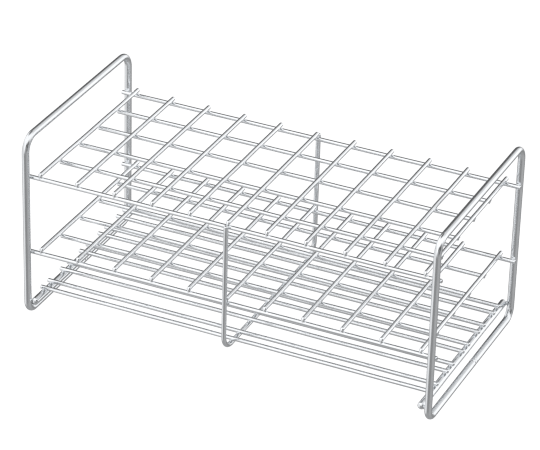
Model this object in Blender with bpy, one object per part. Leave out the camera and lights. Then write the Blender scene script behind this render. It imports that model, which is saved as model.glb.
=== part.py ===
"""Wire test tube rack: five rows of ten square cells, welded up from round steel wire.

Two grids of crossed wires guide the tubes, a tray of paired wires carries their round ends, and a
closed loop of thicker wire at each end is both leg and carrying handle. A bar of the same thick wire
bears each end of the tray, and a bent wire under its middle ties the two long sides together.
Nothing moves.

Metres, +X along the ten columns, +Y to the rear, +Z up, origin on the table under the middle.
"""
import math

import bpy

# Driving dimensions
COLUMNS = 10
ROWS = 5
PITCH = 0.022
GRID_WIRE = 0.0023
FRAME_WIRE = 0.0040
SUPPORT_WIRE = 0.0026
WELD_GAP = 0.0002
HEIGHT = 0.1090
FRAME_X = 0.117
TOP_BEND = 0.0085
FOOT_BEND = 0.0065
SUPPORT_BEND = 0.0090
TOP_GRID_Z = 0.0860
MIDDLE_GRID_Z = 0.0405
TRAY_Z = 0.0126
TRAY_PAIR_SPACING = 0.0080
TRAY_REACH = 0.1150
GRID_REAR_OVERHANG = 0.0020
LONG_WIRE_STUB = 0.0021
INNER_WIRE_STUB = 0.0002
END_BAR_REACH = 0.0590
SUPPORT_TOP_Z = 0.0855

# Sides of the round wires, and straight steps in each quarter bend
FRAME_RESOLUTION = 6
WIRE_RESOLUTION = 4
BEND_STEPS = 6

# Worked out from the driving dimensions
FRAME_SIDES = 2 * FRAME_RESOLUTION + 4
EDGE_ROW_Y = ROWS * PITCH / 2
EDGE_COLUMN_X = COLUMNS * PITCH / 2
WIRE_STEP = GRID_WIRE + WELD_GAP
POST_Y = EDGE_ROW_Y + (GRID_WIRE + FRAME_WIRE) / 2 + WELD_GAP
LEG_Y = EDGE_ROW_Y + (GRID_WIRE + SUPPORT_WIRE) / 2 + WELD_GAP
FOOT_Z = FRAME_WIRE / 2 * math.cos(math.pi / FRAME_SIDES)
RAIL_Z = HEIGHT - FOOT_Z
END_BAR_X = FRAME_X - FRAME_WIRE - WELD_GAP
END_BAR_Z = TRAY_Z - (GRID_WIRE + FRAME_WIRE) / 2 - WELD_GAP
UNDER_TRAY_Z = TRAY_Z - (GRID_WIRE + SUPPORT_WIRE) / 2 - WELD_GAP
CROSS_FRONT_Y = -EDGE_ROW_Y - GRID_WIRE / 2
CROSS_REAR_Y = EDGE_ROW_Y + GRID_REAR_OVERHANG
CROSS_AT_LEG_Y = EDGE_ROW_Y + GRID_WIRE / 2


def clear_scene():
    for item in list(bpy.data.objects):
        bpy.data.objects.remove(item, do_unlink=True)


def steel(name, colour, roughness):
    material = bpy.data.materials.new(name)
    material.use_nodes = True
    shader = material.node_tree.nodes["Principled BSDF"]
    shader.inputs["Base Color"].default_value = (*colour, 1.0)
    shader.inputs["Metallic"].default_value = 1.0
    shader.inputs["Roughness"].default_value = roughness
    return material


def wire_curve(name, points, diameter, resolution, material, cyclic=False, tilt=0.0):
    """A round wire along straight stretches between points."""
    curve = bpy.data.curves.new(name, "CURVE")
    curve.dimensions = "3D"
    curve.bevel_depth = diameter / 2
    curve.bevel_resolution = resolution
    curve.use_fill_caps = True
    curve.render_resolution_u = 0
    spline = curve.splines.new("POLY")
    spline.points.add(len(points) - 1)
    for spot, place in zip(spline.points, points):
        spot.co = (*place, 1.0)
        spot.tilt = tilt
    spline.use_cyclic_u = cyclic
    spline.use_smooth = True
    curve.materials.append(material)
    return curve


def place(collection, name, curve, location):
    piece = bpy.data.objects.new(name, curve)
    piece.location = location
    collection.objects.link(piece)
    return piece


def quarter_bend(centre_y, centre_z, radius, start_degrees):
    """Points of a quarter circle in the YZ plane, anticlockwise from start_degrees."""
    angles = [math.radians(start_degrees + 90 * step / BEND_STEPS) for step in range(BEND_STEPS + 1)]
    return [(0, centre_y + radius * math.cos(a), centre_z + radius * math.sin(a)) for a in angles]


def end_frame_points():
    """Closed loop standing on its lower rail, with wider bends at the handle than at the feet."""
    top_y, top_z = POST_Y - TOP_BEND, RAIL_Z - TOP_BEND
    foot_y, foot_z = POST_Y - FOOT_BEND, FOOT_Z + FOOT_BEND
    return [
        *quarter_bend(top_y, top_z, TOP_BEND, 0),
        *quarter_bend(-top_y, top_z, TOP_BEND, 90),
        *quarter_bend(-foot_y, foot_z, FOOT_BEND, 180),
        *quarter_bend(foot_y, foot_z, FOOT_BEND, 270),
    ]


def support_points():
    """A U from the front of the grids, under the tray and up to the rear of the grids."""
    bend_y, bend_z = LEG_Y - SUPPORT_BEND, UNDER_TRAY_Z + SUPPORT_BEND
    return [
        (0, -LEG_Y, SUPPORT_TOP_Z),
        *quarter_bend(-bend_y, bend_z, SUPPORT_BEND, 180),
        *quarter_bend(bend_y, bend_z, SUPPORT_BEND, 270),
        (0, LEG_Y, SUPPORT_TOP_Z),
    ]


def make_end_frames(collection, material):
    half_side = math.pi / FRAME_SIDES
    loop = wire_curve(
        "end_frame", end_frame_points(), FRAME_WIRE, FRAME_RESOLUTION, material, True, half_side
    )
    place(collection, "end_frame_left", loop, (-FRAME_X, 0, 0))
    place(collection, "end_frame_right", loop, (FRAME_X, 0, 0))


def straight_along_x(name, reach, diameter, material):
    return wire_curve(name, [(-reach, 0, 0), (reach, 0, 0)], diameter, WIRE_RESOLUTION, material)


def straight_along_y(name, front, rear, diameter, material, resolution=WIRE_RESOLUTION):
    return wire_curve(name, [(0, front, 0), (0, rear, 0)], diameter, resolution, material)


def make_grid(collection, level, height, long_material, cross_material):
    """Long wires front to rear, with the cross wires lying on them."""
    outer = straight_along_x(level + "_outer", FRAME_X + LONG_WIRE_STUB, GRID_WIRE, long_material)
    inner = straight_along_x(
        level + "_inner", EDGE_COLUMN_X + INNER_WIRE_STUB, GRID_WIRE, long_material
    )
    for row in range(ROWS + 1):
        curve = outer if row in (0, ROWS) else inner
        spot = (0, row * PITCH - EDGE_ROW_Y, height - WIRE_STEP)
        place(collection, f"{level}_long_wire_{row + 1}", curve, spot)
    cross = straight_along_y(
        level + "_cross", CROSS_FRONT_Y, CROSS_REAR_Y, GRID_WIRE, cross_material
    )
    at_leg = straight_along_y(
        level + "_cross_at_leg", CROSS_FRONT_Y, CROSS_AT_LEG_Y, GRID_WIRE, cross_material
    )
    for column in range(COLUMNS + 1):
        curve = at_leg if 2 * column == COLUMNS else cross
        spot = (column * PITCH - EDGE_COLUMN_X, 0, height)
        place(collection, f"{level}_cross_wire_{column + 1:02d}", curve, spot)


def make_tray(collection, material):
    """A pair of wires under each row of cells."""
    wire = straight_along_x("tray_wire", TRAY_REACH, GRID_WIRE, material)
    for row in range(ROWS):
        middle = (row + 0.5) * PITCH - EDGE_ROW_Y
        for side in (0, 1):
            spot = (0, middle + (side - 0.5) * TRAY_PAIR_SPACING, TRAY_Z)
            place(collection, f"tray_wire_{2 * row + side + 1:02d}", wire, spot)


def make_end_bars(collection, material):
    bar = straight_along_y(
        "tray_end_bar", -END_BAR_REACH, END_BAR_REACH, FRAME_WIRE, material, FRAME_RESOLUTION
    )
    place(collection, "tray_end_bar_left", bar, (-END_BAR_X, 0, END_BAR_Z))
    place(collection, "tray_end_bar_right", bar, (END_BAR_X, 0, END_BAR_Z))


def make_support(collection, material):
    curve = wire_curve("centre_support", support_points(), SUPPORT_WIRE, WIRE_RESOLUTION, material)
    place(collection, "centre_support", curve, (0, 0, 0))


def main():
    clear_scene()
    rack = bpy.data.collections.new("test_tube_rack")
    bpy.context.scene.collection.children.link(rack)
    grid_steel = steel("grid_wire", (0.80, 0.81, 0.82), 0.16)
    cross_steel = steel("cross_wire", (0.82, 0.83, 0.84), 0.15)
    make_end_frames(rack, steel("frame_wire", (0.74, 0.76, 0.77), 0.14))
    make_grid(rack, "top", TOP_GRID_Z, grid_steel, cross_steel)
    make_grid(rack, "middle", MIDDLE_GRID_Z, grid_steel, cross_steel)
    make_tray(rack, steel("tray_wire", (0.80, 0.81, 0.82), 0.18))
    bar_steel = steel("bar_wire", (0.76, 0.78, 0.79), 0.17)
    make_end_bars(rack, bar_steel)
    make_support(rack, bar_steel)


main()
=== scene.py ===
"""Looks of the wire test tube rack: smooth round wires, their welds and steel in a pale studio.

Metres, +X along the ten columns, +Y to the rear, +Z up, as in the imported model. Every wire takes
its place and its thickness from the CAD node that it stands for, and every weld sits where two
wires meet.
"""
import math
from collections import namedtuple

import bpy
import numpy as np
from mathutils import Matrix, Vector


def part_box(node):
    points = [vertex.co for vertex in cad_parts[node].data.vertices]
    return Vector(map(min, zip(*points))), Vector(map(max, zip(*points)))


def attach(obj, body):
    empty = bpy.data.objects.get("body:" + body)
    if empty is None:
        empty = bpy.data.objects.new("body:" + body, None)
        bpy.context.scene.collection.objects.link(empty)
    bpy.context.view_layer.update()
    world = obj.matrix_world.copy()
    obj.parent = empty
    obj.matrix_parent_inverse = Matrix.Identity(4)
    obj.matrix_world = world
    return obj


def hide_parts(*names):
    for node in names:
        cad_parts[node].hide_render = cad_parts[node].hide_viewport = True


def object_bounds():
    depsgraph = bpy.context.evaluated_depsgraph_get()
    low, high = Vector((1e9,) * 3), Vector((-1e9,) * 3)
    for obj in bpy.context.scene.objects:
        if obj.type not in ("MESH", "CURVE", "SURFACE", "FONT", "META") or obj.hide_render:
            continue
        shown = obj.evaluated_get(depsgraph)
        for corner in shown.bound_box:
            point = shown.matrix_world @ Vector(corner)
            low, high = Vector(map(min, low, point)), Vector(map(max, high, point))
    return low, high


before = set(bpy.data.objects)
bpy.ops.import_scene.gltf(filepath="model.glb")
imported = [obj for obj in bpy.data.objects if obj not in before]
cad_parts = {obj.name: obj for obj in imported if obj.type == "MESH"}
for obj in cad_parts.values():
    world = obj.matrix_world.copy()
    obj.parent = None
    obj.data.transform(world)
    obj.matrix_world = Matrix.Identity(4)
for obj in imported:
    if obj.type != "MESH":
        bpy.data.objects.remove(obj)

CAD_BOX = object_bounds()
MM = 0.001
X, Y, Z = range(3)
SEED = 17

# Wires of each grid and of the tray, as counted in the frame
LONG_WIRES = 6
CROSS_WIRES = 11
TRAY_WIRES = 10

# Bends of the thick loops and of the centre support, to the middle of the wire
TOP_BEND = 8.5 * MM
FOOT_BEND = 6.5 * MM
SUPPORT_BEND = 9.0 * MM
BEND_STEPS = 16

# Fineness of the round wires
THIN_SIDES = 20
THICK_SIDES = 36
STATION_STEP = 5.5 * MM
WELD_STATIONS = (-2.4 * MM, -1.5 * MM, -0.8 * MM, 0.0, 0.8 * MM, 1.5 * MM, 2.4 * MM)
CLOSEST_STATIONS = 0.3 * MM
END_CLEARANCE = 0.2 * MM  # between a shaped end and the first station on the straight

# How a drawn wire wanders from straight: one wave and a slower one, with their rates for each way
WAVE = 0.05 * MM
WAVE_LENGTH = 46 * MM
SLOW_SHARE = 0.6
SIDEWAYS_RATES = (1.0, 0.43)
UPWARD_RATES = (1.1, 0.37)

# Ends: distance from the tip and girth, both as shares of the wire's radius
CUT_END = ((0.0, 0.55), (0.015, 0.80), (0.08, 0.93), (0.22, 0.99), (0.45, 1.0))
MELTED_DEPTH, MELTED_ANGLES = 0.95, (5, 18, 32, 46, 60, 74, 90)
ROUND_DEPTH, ROUND_ANGLES = 0.55, (8, 24, 42, 60, 76, 90)
SMALLEST_RING = 0.12
END_SUNK = 0.95           # how low a melted end lies, as a share of what it lost in girth

# Welds where wires cross
REACH = 0.35 * MM         # wires nearer than this to each other are welded
NUGGET = 1.3 * MM         # thickest wire radius that a weld's width grows with
WAIST = 0.74              # narrowest part of a weld, as a share of the thinner wire's radius
FLARE = 0.93              # where it runs out on the wires
WIDEST_FLARE = 0.97
FLARE_POWER = 1.6         # how suddenly it widens from the waist
NECK_SIZES = (0.93, 1.05)  # each weld's own size, as a factor on its width
TWO_LOBES, THREE_LOBES = 0.07, 0.04  # how far its outline is from round
NECK_SUNK = 0.06 * MM     # how far it reaches into each wire
NECK_LEVELS = 7
NECK_SIDES = 24
NECK_UV_STEP = 0.1 * MM   # the lines on a weld, between its rings and round it
NECK_UV_GIRTH = 4 * MM

# Butt weld that closes each thick loop, on its lower rail, with a groove along each side
BUTT_WELD_Y = 4.8 * MM
BUTT_WELD_HALF = 0.9 * MM
BUTT_WELD_SWELL = 0.12 * MM
BUTT_WELD_STEPS = 6       # rings in each half width
BUTT_GROOVE = 0.20 * MM
BUTT_GROOVE_PLACE = 1.25  # from the weld's middle, in half widths of it
BUTT_GROOVE_WIDTH = 0.22
GROUND_FLAT = 2.2         # how soon its swelling fades towards the ground underside
RAIL_TOLERANCE = 0.1 * MM  # a point nearer than this in height to the rail's middle can swell
SAME_HEIGHT = 1e-9        # a point nearer than this gives way to the weld's own rings

# Finish of each slot: colour, roughness, and how far the drawing lines stand out of the peel
FINISHES = {
    "frame_wire": ((0.845, 0.865, 0.885), 0.13, 0.5),
    "grid_wire": ((0.885, 0.905, 0.925), 0.05, 0.4),
    "cross_wire": ((0.89, 0.91, 0.93), 0.05, 0.4),
    "tray_wire": ((0.88, 0.90, 0.92), 0.05, 0.4),
    "bar_wire": ((0.85, 0.87, 0.89), 0.09, 0.6),
}

# Surface of the steel; the scales of its noise are per metre
LINES_SCALE = (90, 5200, 1)  # drawing lines, along and around the wire
LINES_DETAIL = 3.0
LINES_ROUGHNESS = 0.06
PEEL_SCALE, PEEL_DETAIL = 520.0, 2.0
WORN_SCALE, WORN_DETAIL = 70.0, 3.0
WORN_RANGE = (0.35, 0.70)
WORN_SHADE = 0.94
WORN_ROUGHNESS = 0.05
BUMP_STRENGTH = 0.20
BUMP_DEPTH = 0.03 * MM

# The tent round the rack: levels of light, and the heights between which one turns to the next,
# as the Z of a direction of length 1
UNDER_LEVEL = 0.38
FLOOR_LEVEL = 0.28
WHITE_LEVEL = 1.20
OPEN_LEVEL = 1.12         # what lights the floor
UNDER_TO_FLOOR = (-0.85, -0.45)
TABLE_TO_WHITE = (-0.48, 0.20)
# Soft patches of it: azimuth from the front and elevation, inner and outer radius in degrees, level
SURROUND = (
    ((88, -22), 22, 52, 0.44),      # side of the tent, low on the right
    ((176, 38), 18, 44, 0.80),      # upper rear, falling off
    ((-62, -14), 26, 46, 0.88),     # white card low on the left
    ((143, 6), 14, 31, 1.20),       # window low at the right rear
    ((-150, 11), 14, 40, 0.12),     # dark opening at the left rear
    ((-140, 60), 12, 26, 0.15),     # dark seam above it
    ((60, 14), 15, 34, 0.12),       # dark opening at the right front, mirrored in views from behind
    ((30, 4), 16, 30, 0.32),        # table front, beside the camera
    ((25, 27), 7, 15, 0.01),        # the camera itself
)

FLOOR_HALF = 6.0
FLOOR_COLOUR = (0.94, 0.94, 0.945, 1)
FLOOR_ROUGHNESS = 0.9

# Camera: bearing and roll in degrees, distance and shift of its target in metres, lens in mm
CAMERA_BEARING = (24.34, 29.48)
CAMERA_ROLL = 1.66
CAMERA_DISTANCE = 1.600
CAMERA_SHIFT = (-0.0013, 0, 0.0022)
CAMERA_LENS = 199.81
CAMERA_SENSOR = 36
CAMERA_CLIP = (0.05, 50)
FILTER_WIDTH = 1.25

Wire = namedtuple("Wire", "name axis start end centre radius")
Weld = namedtuple("Weld", "first second point normal group")


def unit(axis):
    return Vector([float(axis == i) for i in range(3)])


def bearing(azimuth_degrees, elevation_degrees):
    """The direction of length 1 at an azimuth from the front and an elevation."""
    azimuth, elevation = math.radians(azimuth_degrees), math.radians(elevation_degrees)
    return (
        math.sin(azimuth) * math.cos(elevation),
        -math.cos(azimuth) * math.cos(elevation),
        math.sin(elevation),
    )


# ------------------------------------------------ wires and welds, read from the frame

def straight_wire(node, axis):
    """The line and radius of a straight CAD wire that runs along one axis."""
    low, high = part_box(node)
    across = [i for i in range(3) if i != axis]
    radius = min(high[i] - low[i] for i in across) / 2
    return Wire(node, axis, low[axis], high[axis], (low + high) / 2, radius)


def loop_sides(node, bend_low, bend_high):
    """The upright and lower stretches of a bent CAD wire that stands in a YZ plane."""
    low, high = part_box(node)
    radius = (high.x - low.x) / 2
    middle = (low + high) / 2
    stretches = []
    for y in (low.y + radius, high.y - radius):
        centre = Vector((middle.x, y, middle.z))
        top = high.z - bend_high
        stretches.append(Wire(node, Z, low.z + radius + bend_low, top, centre, radius))
    floor_centre = Vector((middle.x, 0, low.z + radius))
    reach = high.y - radius - bend_low
    stretches.append(Wire(node, Y, -reach, reach, floor_centre, radius))
    return stretches


def numbered_wires(pattern, count, axis):
    return [straight_wire(pattern.format(number), axis) for number in range(1, count + 1)]


TOP_LONG = numbered_wires("top_long_wire_{}", LONG_WIRES, X)
TOP_CROSS = numbered_wires("top_cross_wire_{:02d}", CROSS_WIRES, Y)
MIDDLE_LONG = numbered_wires("middle_long_wire_{}", LONG_WIRES, X)
MIDDLE_CROSS = numbered_wires("middle_cross_wire_{:02d}", CROSS_WIRES, Y)
TRAY = numbered_wires("tray_wire_{:02d}", TRAY_WIRES, X)
END_BARS = [straight_wire("tray_end_bar_left", Y), straight_wire("tray_end_bar_right", Y)]
LOOPS = [
    *loop_sides("end_frame_left", FOOT_BEND, TOP_BEND),
    *loop_sides("end_frame_right", FOOT_BEND, TOP_BEND),
]
SUPPORT = loop_sides("centre_support", SUPPORT_BEND, 0)


def weld_between(first, second, group):
    """The weld where two crossing wires all but touch, or None."""
    if first.axis == second.axis:
        return None
    normal_axis = 3 - first.axis - second.axis
    step = second.centre[normal_axis] - first.centre[normal_axis]
    gap = abs(step) - first.radius - second.radius
    if not -REACH < gap < REACH:
        return None
    for wire, other in ((first, second), (second, first)):
        spot = other.centre[wire.axis]
        if not wire.start - other.radius < spot < wire.end + other.radius:
            return None
    point = Vector()
    point[first.axis] = second.centre[first.axis]
    point[second.axis] = first.centre[second.axis]
    side = math.copysign(1, step)
    point[normal_axis] = first.centre[normal_axis] + side * (first.radius + gap / 2)
    return Weld(first, second, point, unit(normal_axis) * side, group)


def welds_among(group, firsts, seconds):
    found = [weld_between(first, second, group) for first in firsts for second in seconds]
    return [weld for weld in found if weld]


WELDS = [
    *welds_among("top_grid_welds", TOP_LONG, TOP_CROSS),
    *welds_among("middle_grid_welds", MIDDLE_LONG, MIDDLE_CROSS),
    *welds_among("tray_welds", TRAY, END_BARS),
    *welds_among("tray_welds", TRAY, SUPPORT),
    *welds_among("end_frame_welds", TOP_LONG + MIDDLE_LONG + END_BARS, LOOPS),
    *welds_among("centre_support_welds", TOP_LONG + MIDDLE_LONG, SUPPORT),
]


# ------------------------------------------------ meshes

def make_piece(name, points, faces, uvs, slot, replaced=()):
    """A smooth-shaded piece with UVs in metres along and around the wire."""
    mesh = bpy.data.meshes.new(name)
    mesh.from_pydata([tuple(p) for p in points], [], faces)
    layer = mesh.uv_layers.new(name="UVMap")
    layer.data.foreach_set("uv", np.array([uv for face in uvs for uv in face], np.float32).ravel())
    mesh.shade_smooth()
    mesh.materials.append(MATERIALS[slot])
    mesh.validate()
    piece = bpy.data.objects.new(name, mesh)
    bpy.context.scene.collection.objects.link(piece)
    piece.visible_diffuse = False
    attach(piece, "root")
    if replaced:
        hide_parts(*replaced)
    return piece


def swept(rings, lengths, girth, closed):
    """Faces and UVs of a tube through rings of points; a point closes each end of an open tube."""
    count, sides = len(rings), len(rings[0])
    faces, uvs = [], []
    for i in range(count if closed else count - 1):
        here, there = i * sides, (i + 1) % count * sides
        start, end = lengths[i], lengths[i + 1]
        for j in range(sides):
            k = (j + 1) % sides
            faces.append((here + j, here + k, there + k, there + j))
            low, high = girth * j / sides, girth * (j + 1) / sides
            uvs.append([(start, low), (start, high), (end, high), (end, low)])
    points = [p for ring in rings for p in ring]
    if not closed:
        for i, backward in ((0, True), (count - 1, False)):
            middle = len(points)
            points.append(np.mean(rings[i], axis=0))
            for j in range(sides):
                k = (j + 1) % sides
                pair = (k, j) if backward else (j, k)
                faces.append((*(i * sides + s for s in pair), middle))
                rim = [(lengths[i], girth * s / sides) for s in pair]
                uvs.append(rim + [(lengths[i], girth / 2)])
    return points, faces, uvs


def circle(sides):
    angles = np.arange(sides) * 2 * math.pi / sides
    return np.cos(angles), np.sin(angles)


def domed_end(depth, degrees):
    """A round end of the given depth, as rings at these angles from its tip."""
    return tuple(
        (depth * (1 - math.cos(a)), max(SMALLEST_RING, math.sin(a))) for a in np.radians(degrees)
    )


MELTED_END = domed_end(MELTED_DEPTH, MELTED_ANGLES)
ROUND_END = domed_end(ROUND_DEPTH, ROUND_ANGLES)


def stations(wire, start_shape, end_shape, spots):
    """Where the rings of a straight wire go, closer at its welds, and their share of its radius."""
    tips = [(wire.start + d * wire.radius, share) for d, share in start_shape]
    tails = [(wire.end - d * wire.radius, share) for d, share in reversed(end_shape)]
    inner_start, inner_end = tips[-1][0], tails[0][0]
    regular = np.arange(inner_start + STATION_STEP, inner_end - STATION_STEP / 2, STATION_STEP)
    near_welds = [spot + step for spot in spots for step in WELD_STATIONS]
    inner = []
    for place in sorted([*near_welds, *regular]):
        if inner_start + END_CLEARANCE < place < inner_end - END_CLEARANCE:
            if not inner or place - inner[-1] > CLOSEST_STATIONS:
                inner.append(place)
    return tips + [(place, 1.0) for place in inner] + tails


def wander(random):
    """How far a wire strays sideways and upward, as a function of the place along it."""
    phases = random.uniform(0, 2 * math.pi, 4)

    def two_waves(turn, rates, phase, slow_phase):
        rate, slow_rate = rates
        wave = math.sin(rate * turn + phase) + SLOW_SHARE * math.sin(slow_rate * turn + slow_phase)
        return WAVE * wave / (1 + SLOW_SHARE)

    def offset(place):
        turn = 2 * math.pi * place / WAVE_LENGTH
        sideways = two_waves(turn, SIDEWAYS_RATES, phases[0], phases[1])
        return sideways, two_waves(turn, UPWARD_RATES, phases[2], phases[3])

    return offset


def make_straight(wire, slot, start_shape, end_shape, random, sides=THIN_SIDES, sunk=0.0):
    """A straight drawn wire, with its ends shaped and its start sunk, in place of its CAD node."""
    along, first = unit(wire.axis), unit((wire.axis + 1) % 3)
    second = along.cross(first)
    offset = wander(random)
    at_wire = (weld for weld in WELDS if wire.name in (weld.first.name, weld.second.name))
    spots = [weld.point[wire.axis] for weld in at_wire]
    cos, sin = circle(sides)
    around = cos[:, None] * np.array(first) + sin[:, None] * np.array(second)
    rings, lengths = [], []
    for place, share in stations(wire, start_shape, end_shape, spots):
        sideways, upward = offset(place)
        centre = Vector(wire.centre)
        centre[wire.axis] = place
        if place < wire.centre[wire.axis]:
            centre.z -= sunk * wire.radius * (1 - share)
        middle = np.array(centre + first * sideways + second * upward)
        rings.append(middle + wire.radius * share * around)
        lengths.append(place)
    points, faces, uvs = swept(rings, lengths, 2 * math.pi * wire.radius, closed=False)
    return make_piece(wire.name + "_wire", points, faces, uvs, slot, [wire.name])


def arc(centre_y, centre_z, radius, start_degrees, steps):
    angles = np.radians(start_degrees + 90 * np.arange(steps + 1) / steps)
    return [(centre_y + radius * math.cos(a), centre_z + radius * math.sin(a)) for a in angles]


def subdivided(points, longest, closed):
    """The same line of points, with none further apart than the longest step."""
    line = []
    pairs = zip(points, points[1:] + points[:1]) if closed else zip(points, points[1:])
    for here, there in pairs:
        gap = math.dist(here, there)
        parts = max(1, math.ceil(gap / longest))
        for part in range(parts):
            share = part / parts
            line.append(tuple(h + (t - h) * share for h, t in zip(here, there)))
    if not closed:
        line.append(points[-1])
    return line


def butt_swell(y, z, rail_z):
    """Extra radius at the joint that closes a thick loop, ground off flush underneath."""
    if abs(z - rail_z) > RAIL_TOLERANCE:
        return 0.0
    off = (y - BUTT_WELD_Y) / BUTT_WELD_HALF
    bead = BUTT_WELD_SWELL * math.exp(-off ** 4)
    into_groove = (abs(off) - BUTT_GROOVE_PLACE) / BUTT_GROOVE_WIDTH
    return bead - BUTT_GROOVE * math.exp(-into_groove ** 2)


def make_bent(node, line, sides, slot, closed=True, end_shape=()):
    """A round wire along a line of points in a YZ plane, in place of its CAD node."""
    low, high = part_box(node)
    radius = (high.x - low.x) / 2
    x = (low.x + high.x) / 2
    places = np.array(line)
    count = len(places)
    steps = np.roll(places, -1, 0) - places
    spans = np.hypot(steps[:, 0], steps[:, 1])
    lengths = np.concatenate([[0], np.cumsum(spans)])
    if closed:
        tangents = np.roll(places, -1, 0) - np.roll(places, 1, 0)
    else:
        tangents = np.gradient(places, axis=0)
    tangents /= np.hypot(tangents[:, 0], tangents[:, 1])[:, None]
    shares = np.ones(count)
    if not closed:
        total = lengths[count - 1]
        distances, girths = zip(*end_shape)
        from_end = np.minimum(lengths[:count], total - lengths[:count]) / radius
        shares = np.interp(from_end, distances, girths)
    cos, sin = circle(sides)
    sideways = np.array([1.0, 0.0, 0.0])
    rings = []
    for (y, z), (ty, tz), share in zip(places, tangents, shares):
        inward = np.array([0.0, -tz, ty])
        swell = butt_swell(y, z, low.z + radius) * np.clip(1 + GROUND_FLAT * sin, 0, 1)
        reach = (radius * share + swell)[:, None]
        middle = np.array([x, y, z])
        rings.append(middle + reach * (cos[:, None] * sideways + sin[:, None] * inward))
    points, faces, uvs = swept(rings, list(lengths), 2 * math.pi * radius, closed)
    return make_piece(node + "_wire", points, faces, uvs, slot, [node])


def end_frame_line(node):
    """The closed line of a thick loop, with more points at its butt weld."""
    low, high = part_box(node)
    radius = (high.x - low.x) / 2
    rail_z = low.z + radius
    foot_y, foot_z = high.y - radius - FOOT_BEND, rail_z + FOOT_BEND
    top_y, top_z = high.y - radius - TOP_BEND, high.z - radius - TOP_BEND
    corners = [
        *arc(top_y, top_z, TOP_BEND, 0, BEND_STEPS),
        *arc(-top_y, top_z, TOP_BEND, 90, BEND_STEPS),
        *arc(-foot_y, foot_z, FOOT_BEND, 180, BEND_STEPS),
        *arc(foot_y, foot_z, FOOT_BEND, 270, BEND_STEPS),
    ]
    joint = [
        (BUTT_WELD_Y + step * BUTT_WELD_HALF / BUTT_WELD_STEPS, rail_z)
        for step in range(-2 * BUTT_WELD_STEPS, 2 * BUTT_WELD_STEPS + 1)
    ]
    line = [
        (y, z)
        for y, z in subdivided(corners, STATION_STEP, closed=True)
        if abs(z - rail_z) >= SAME_HEIGHT or abs(y - BUTT_WELD_Y) >= 2 * BUTT_WELD_HALF
    ]
    lowest = min(z for _, z in line)
    before = max(i for i, (y, z) in enumerate(line) if z == lowest and y < BUTT_WELD_Y)
    return line[:before + 1] + joint + line[before + 1:]


def support_line(node):
    """The open line of the centre support, with its points close together at the tips."""
    low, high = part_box(node)
    radius = (high.x - low.x) / 2
    leg = high.y - radius
    bend_y, bend_z = leg - SUPPORT_BEND, low.z + radius + SUPPORT_BEND
    rear_tip = [(leg, high.z - distance * radius) for distance, _ in ROUND_END]
    front_tip = [(-y, z) for y, z in rear_tip]
    corners = [
        front_tip[-1],
        *arc(-bend_y, bend_z, SUPPORT_BEND, 180, BEND_STEPS),
        *arc(bend_y, bend_z, SUPPORT_BEND, 270, BEND_STEPS),
        rear_tip[-1],
    ]
    return front_tip[:-1] + subdivided(corners, STATION_STEP, closed=False) + rear_tip[-2::-1]


def sag(radius, off):
    """How far a round wire's surface falls away from its crest, off to the side."""
    return radius * (1 - math.sqrt(1 - (off / radius) ** 2))


def neck(weld, random):
    """The neck of metal between two crossing wires, as rings of points from the first wire on."""
    first, second, normal = weld.first, weld.second, weld.normal
    thin = min(first.radius, second.radius, NUGGET)
    size = random.uniform(*NECK_SIZES)
    phase_two, phase_three = random.uniform(0, 2 * math.pi, 2)
    along_first, along_second = unit(first.axis), unit(second.axis)
    apart = abs((second.centre - first.centre)[3 - first.axis - second.axis])
    half_gap = (apart - first.radius - second.radius) / 2
    rings = []
    for level in np.linspace(-1, 1, NECK_LEVELS):
        ring = []
        for angle in np.arange(NECK_SIDES) * 2 * math.pi / NECK_SIDES:
            ripple = (
                1
                + TWO_LOBES * math.cos(2 * angle + phase_two)
                + THREE_LOBES * math.cos(3 * angle + phase_three)
            )
            waist = WAIST * size * ripple
            flare = min(WIDEST_FLARE, FLARE * size * (0.5 + 0.5 * ripple))
            reach = thin * (waist + (flare - waist) * abs(level) ** FLARE_POWER)
            on_first, on_second = reach * math.cos(angle), reach * math.sin(angle)
            bottom = -half_gap - sag(first.radius, on_second) - NECK_SUNK
            top = half_gap + sag(second.radius, on_first) + NECK_SUNK
            height = np.interp(level, (-1, 1), (bottom, top))
            spot = weld.point + along_first * on_first + along_second * on_second
            ring.append(spot + normal * height)
        rings.append(np.array([tuple(p) for p in ring]))
    if along_first.cross(along_second).dot(normal) < 0:
        rings = [ring[::-1] for ring in rings]
    return rings


def make_welds(group, slot, random):
    """All the welds of one group as one piece."""
    lengths = [NECK_UV_STEP * level for level in range(NECK_LEVELS)]
    points, faces, uvs = [], [], []
    for weld in (w for w in WELDS if w.group == group):
        rings = neck(weld, random)
        more_points, more_faces, more_uvs = swept(rings, lengths, NECK_UV_GIRTH, closed=False)
        faces += [tuple(len(points) + i for i in face) for face in more_faces]
        points += list(more_points)
        uvs += more_uvs
    return make_piece(group, points, faces, uvs, slot)


# ------------------------------------------------ materials

def add(tree, kind, inputs=None, **settings):
    """A shader node with its settings, and its inputs as values or as other nodes' outputs."""
    node = tree.nodes.new(kind)
    for key, value in settings.items():
        setattr(node, key, value)
    for key, value in (inputs or {}).items():
        if isinstance(value, bpy.types.NodeSocket):
            tree.links.new(value, node.inputs[key])
        else:
            node.inputs[key].default_value = value
    return node


def multiply_add(tree, value, factor, addend):
    inputs = {0: value, 1: factor, 2: addend}
    return add(tree, "ShaderNodeMath", inputs, operation="MULTIPLY_ADD").outputs[0]


def noise(tree, vector, scale, detail):
    inputs = {"Vector": vector, "Scale": scale, "Detail": detail}
    return add(tree, "ShaderNodeTexNoise", inputs).outputs["Fac"]


def ramp(tree, value, low, high):
    """A soft step from 0 at low to 1 at high."""
    inputs = {"Value": value, "From Min": low, "From Max": high}
    node = add(tree, "ShaderNodeMapRange", inputs, interpolation_type="SMOOTHSTEP")
    return node.outputs["Result"]


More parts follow.
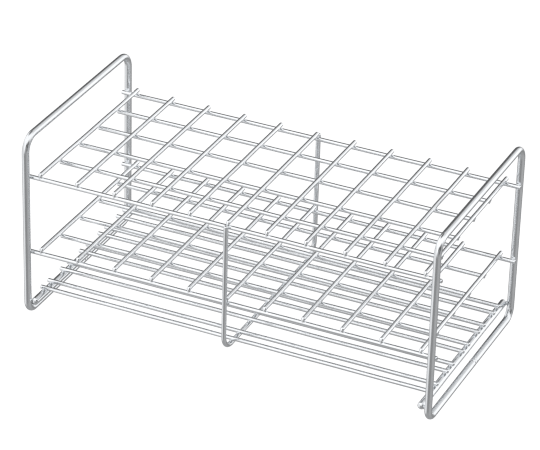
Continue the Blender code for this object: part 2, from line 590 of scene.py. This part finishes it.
def blend(tree, factor, low, high):
    """low where the factor is 0, high where it is 1."""
    inputs = {0: factor, 2: low, 3: high}
    return add(tree, "ShaderNodeMix", inputs, data_type="FLOAT").outputs[0]


def mix_colour(tree, factor, low, high):
    """As blend; the colour sockets of a Mix node sit after its number and vector sockets."""
    return add(tree, "ShaderNodeMix", {0: factor, 6: low, 7: high}, data_type="RGBA").outputs[2]


def polished_steel(name, colour, roughness, grain):
    """Drawn and electropolished wire: fine lines along it, a soft orange peel, duller patches."""
    material = bpy.data.materials.new(name)
    material.use_nodes = True
    tree = material.node_tree
    shader = tree.nodes["Principled BSDF"]
    place = add(tree, "ShaderNodeTexCoord")
    stretch = {"Vector": place.outputs["UV"], "Scale": LINES_SCALE}
    lines = noise(tree, add(tree, "ShaderNodeMapping", stretch).outputs[0], 1.0, LINES_DETAIL)
    peel = noise(tree, place.outputs["Object"], PEEL_SCALE, PEEL_DETAIL)
    worn = ramp(tree, noise(tree, place.outputs["Object"], WORN_SCALE, WORN_DETAIL), *WORN_RANGE)
    bright, dulled = (*colour, 1.0), (*(c * WORN_SHADE for c in colour), 1.0)
    tree.links.new(mix_colour(tree, worn, bright, dulled), shader.inputs["Base Color"])
    shader.inputs["Metallic"].default_value = 1.0
    rough = multiply_add(tree, lines, LINES_ROUGHNESS, roughness)
    rough = multiply_add(tree, worn, WORN_ROUGHNESS, rough)
    tree.links.new(rough, shader.inputs["Roughness"])
    height = multiply_add(tree, lines, grain, peel)
    relief = {"Height": height, "Strength": BUMP_STRENGTH, "Distance": BUMP_DEPTH}
    bump = add(tree, "ShaderNodeBump", relief)
    tree.links.new(bump.outputs["Normal"], shader.inputs["Normal"])
    return material


MATERIALS = {
    slot: polished_steel(slot + "_steel", colour, roughness, grain)
    for slot, (colour, roughness, grain) in FINISHES.items()
}


# ------------------------------------------------ the rack

def make_rack():
    random = np.random.default_rng(SEED)
    for node in ("end_frame_left", "end_frame_right"):
        make_bent(node, end_frame_line(node), THICK_SIDES, "frame_wire")
    node = "centre_support"
    make_bent(node, support_line(node), THIN_SIDES, "bar_wire", closed=False, end_shape=ROUND_END)
    for long_wires, cross_wires in ((TOP_LONG, TOP_CROSS), (MIDDLE_LONG, MIDDLE_CROSS)):
        for wire in long_wires:
            make_straight(wire, "grid_wire", CUT_END, CUT_END, random)
        for wire in cross_wires:
            make_straight(wire, "cross_wire", MELTED_END, CUT_END, random, sunk=END_SUNK)
    for wire in TRAY:
        make_straight(wire, "tray_wire", ROUND_END, ROUND_END, random)
    for wire in END_BARS:
        make_straight(wire, "bar_wire", ROUND_END, ROUND_END, random, THICK_SIDES)
    make_welds("top_grid_welds", "grid_wire", random)
    make_welds("middle_grid_welds", "grid_wire", random)
    make_welds("tray_welds", "tray_wire", random)
    make_welds("end_frame_welds", "frame_wire", random)
    make_welds("centre_support_welds", "bar_wire", random)


# ------------------------------------------------ studio

def patch(tree, direction, centre, inner_degrees, outer_degrees):
    """How far a direction lies inside a soft round patch of the surround: 1 inside, 0 outside."""
    inputs = {0: direction, 1: bearing(*centre)}
    dot = add(tree, "ShaderNodeVectorMath", inputs, operation="DOT_PRODUCT")
    outer, inner = (math.cos(math.radians(v)) for v in (outer_degrees, inner_degrees))
    return ramp(tree, dot.outputs["Value"], outer, inner)


def make_surround():
    """A light tent as the steel mirrors it; the eye and the floor see it without its patches."""
    world = bpy.data.worlds.new("studio_surround")
    bpy.context.scene.world = world
    world.use_nodes = True
    world.cycles.sampling_method = "NONE"
    tree = world.node_tree
    tree.nodes.clear()
    direction = add(tree, "ShaderNodeTexCoord").outputs["Generated"]
    height = add(tree, "ShaderNodeSeparateXYZ", {0: direction}).outputs["Z"]
    table = blend(tree, ramp(tree, height, *UNDER_TO_FLOOR), UNDER_LEVEL, FLOOR_LEVEL)
    level = blend(tree, ramp(tree, height, *TABLE_TO_WHITE), table, WHITE_LEVEL)
    for centre, inner, outer, patch_level in SURROUND:
        level = blend(tree, patch(tree, direction, centre, inner, outer), level, patch_level)
    ray = add(tree, "ShaderNodeLightPath")
    level = blend(tree, ray.outputs["Is Diffuse Ray"], level, OPEN_LEVEL)
    level = blend(tree, ray.outputs["Is Camera Ray"], level, 1.0)
    background = add(tree, "ShaderNodeBackground", {"Color": (1, 1, 1, 1), "Strength": level})
    output = add(tree, "ShaderNodeOutputWorld")
    tree.links.new(background.outputs[0], output.inputs[0])


def make_floor():
    mesh = bpy.data.meshes.new("studio_floor")
    corners = [(x * FLOOR_HALF, y * FLOOR_HALF, 0) for x, y in ((-1, -1), (1, -1), (1, 1), (-1, 1))]
    mesh.from_pydata(corners, [], [(0, 1, 2, 3)])
    floor = bpy.data.objects.new("studio_floor", mesh)
    bpy.context.scene.collection.objects.link(floor)
    material = bpy.data.materials.new("pale_floor")
    material.use_nodes = True
    shader = material.node_tree.nodes["Principled BSDF"]
    shader.inputs["Base Color"].default_value = FLOOR_COLOUR
    shader.inputs["Roughness"].default_value = FLOOR_ROUGHNESS
    shader.inputs["Specular IOR Level"].default_value = 0.0
    mesh.materials.append(material)
    floor.visible_glossy = False


def make_camera():
    low, high = CAD_BOX
    target = (low + high) / 2 + Vector(CAMERA_SHIFT)
    back = Vector(bearing(*CAMERA_BEARING))
    azimuth, roll = math.radians(CAMERA_BEARING[0]), math.radians(CAMERA_ROLL)
    right = Vector((math.cos(azimuth), math.sin(azimuth), 0))
    up = back.cross(right)
    turned_right = math.cos(roll) * right + math.sin(roll) * up
    turned_up = math.cos(roll) * up - math.sin(roll) * right
    turn = Matrix((turned_right, turned_up, back)).transposed().to_4x4()
    data = bpy.data.cameras.new("camera")
    data.sensor_width = CAMERA_SENSOR
    data.lens = CAMERA_LENS
    data.clip_start, data.clip_end = CAMERA_CLIP
    camera = bpy.data.objects.new("camera", data)
    bpy.context.scene.collection.objects.link(camera)
    camera.matrix_world = Matrix.Translation(target + back * CAMERA_DISTANCE) @ turn
    bpy.context.scene.camera = camera


make_rack()
make_surround()
make_floor()
make_camera()
bpy.context.scene.view_settings.view_transform = "Standard"
bpy.context.scene.cycles.use_denoising = False
bpy.context.scene.cycles.filter_width = FILTER_WIDTH
